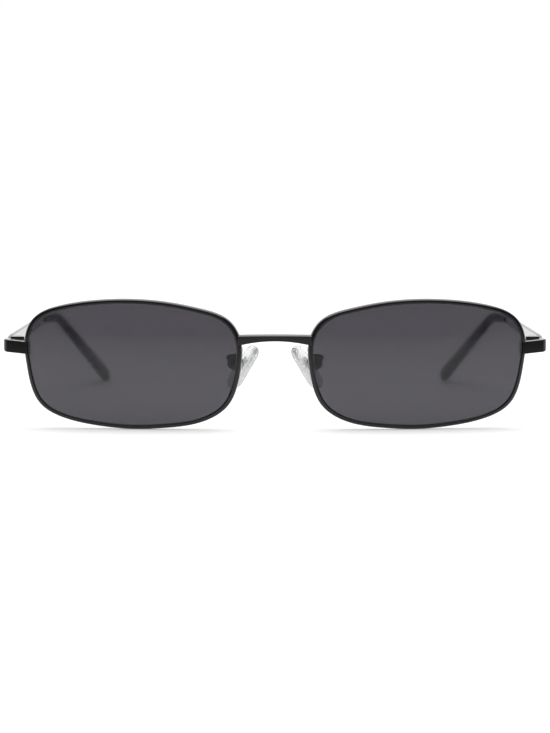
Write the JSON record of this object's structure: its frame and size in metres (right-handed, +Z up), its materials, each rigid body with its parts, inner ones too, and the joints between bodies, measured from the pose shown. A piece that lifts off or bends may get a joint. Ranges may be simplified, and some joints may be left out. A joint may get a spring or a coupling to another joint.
{
  "type": "narrow rectangle sunglasses",
  "caption": "Full-rim metal sunglasses with narrow rounded-rectangle tinted lenses, adjustable clear nose pads and folding temples with bent ear tips.",
  "frame": {"origin": "on the table, below the middle of the overall box, with the glasses open and standing on their eyewires and ear tips", "axes": "+Z up, the lenses face -Y, the temples run back along +Y, +X is the wearer's left"},
  "size_m": [0.1366, 0.1428, 0.0329],
  "materials": {
    "frame_metal": "polished black",
    "lens": "polished neutral grey tint",
    "ear_sock": "smooth black",
    "pad_clear": "clear, satin",
    "pad_insert_metal": "bright",
    "screw_steel": "turned"
  },
  "bodies": {
    "front": {"bridge": "frame_metal", "left_rim": "frame_metal", "left_lens": "lens", "left_endpiece": "frame_metal", "left_rim_lock_upper": "frame_metal", "left_rim_lock_lower": "frame_metal", "left_rim_lock_screw": "screw_steel", "left_hinge_front_leaf": "frame_metal", "left_hinge_screw": "screw_steel", "left_pad_arm": "frame_metal", "left_pad_box": "frame_metal", "left_pad_screw": "screw_steel", "right_rim": "frame_metal", "right_lens": "lens", "right_endpiece": "frame_metal", "right_rim_lock_upper": "frame_metal", "right_rim_lock_lower": "frame_metal", "right_rim_lock_screw": "screw_steel", "right_hinge_front_leaf": "frame_metal", "right_hinge_screw": "screw_steel", "right_pad_arm": "frame_metal", "right_pad_box": "frame_metal", "right_pad_screw": "screw_steel"},
    "left_temple_arm": {"left_temple": "frame_metal", "left_temple_tip": "ear_sock", "left_hinge_temple_leaf": "frame_metal"},
    "right_temple_arm": {"right_temple": "frame_metal", "right_temple_tip": "ear_sock", "right_hinge_temple_leaf": "frame_metal"},
    "left_pad": {"left_nose_pad": "pad_clear", "left_pad_insert": "pad_insert_metal"},
    "right_pad": {"right_nose_pad": "pad_clear", "right_pad_insert": "pad_insert_metal"}
  },
  "joints": [
    {"name": "left_temple_fold", "type": "hinge", "parent": "front", "child": "left_temple_arm", "pos_m": [0.0652, -0.05558, 0.0207], "axis": [0, 0, 1], "range_deg": [0, 84.5]},
    {"name": "right_temple_fold", "type": "hinge", "parent": "front", "child": "right_temple_arm", "pos_m": [-0.0652, -0.05558, 0.0207], "axis": [0, 0, -1], "range_deg": [0, 81]},
    {"name": "left_pad_rock", "type": "hinge", "parent": "front", "child": "left_pad", "pos_m": [0.01007, -0.06152, 0.01623], "axis": [-0.3177, -0.9272, -0.1985], "range_deg": [-8, 8]},
    {"name": "right_pad_rock", "type": "hinge", "parent": "front", "child": "right_pad", "pos_m": [-0.01007, -0.06152, 0.01623], "axis": [0.3177, -0.9272, -0.1985], "range_deg": [-8, 8]}
  ]
}
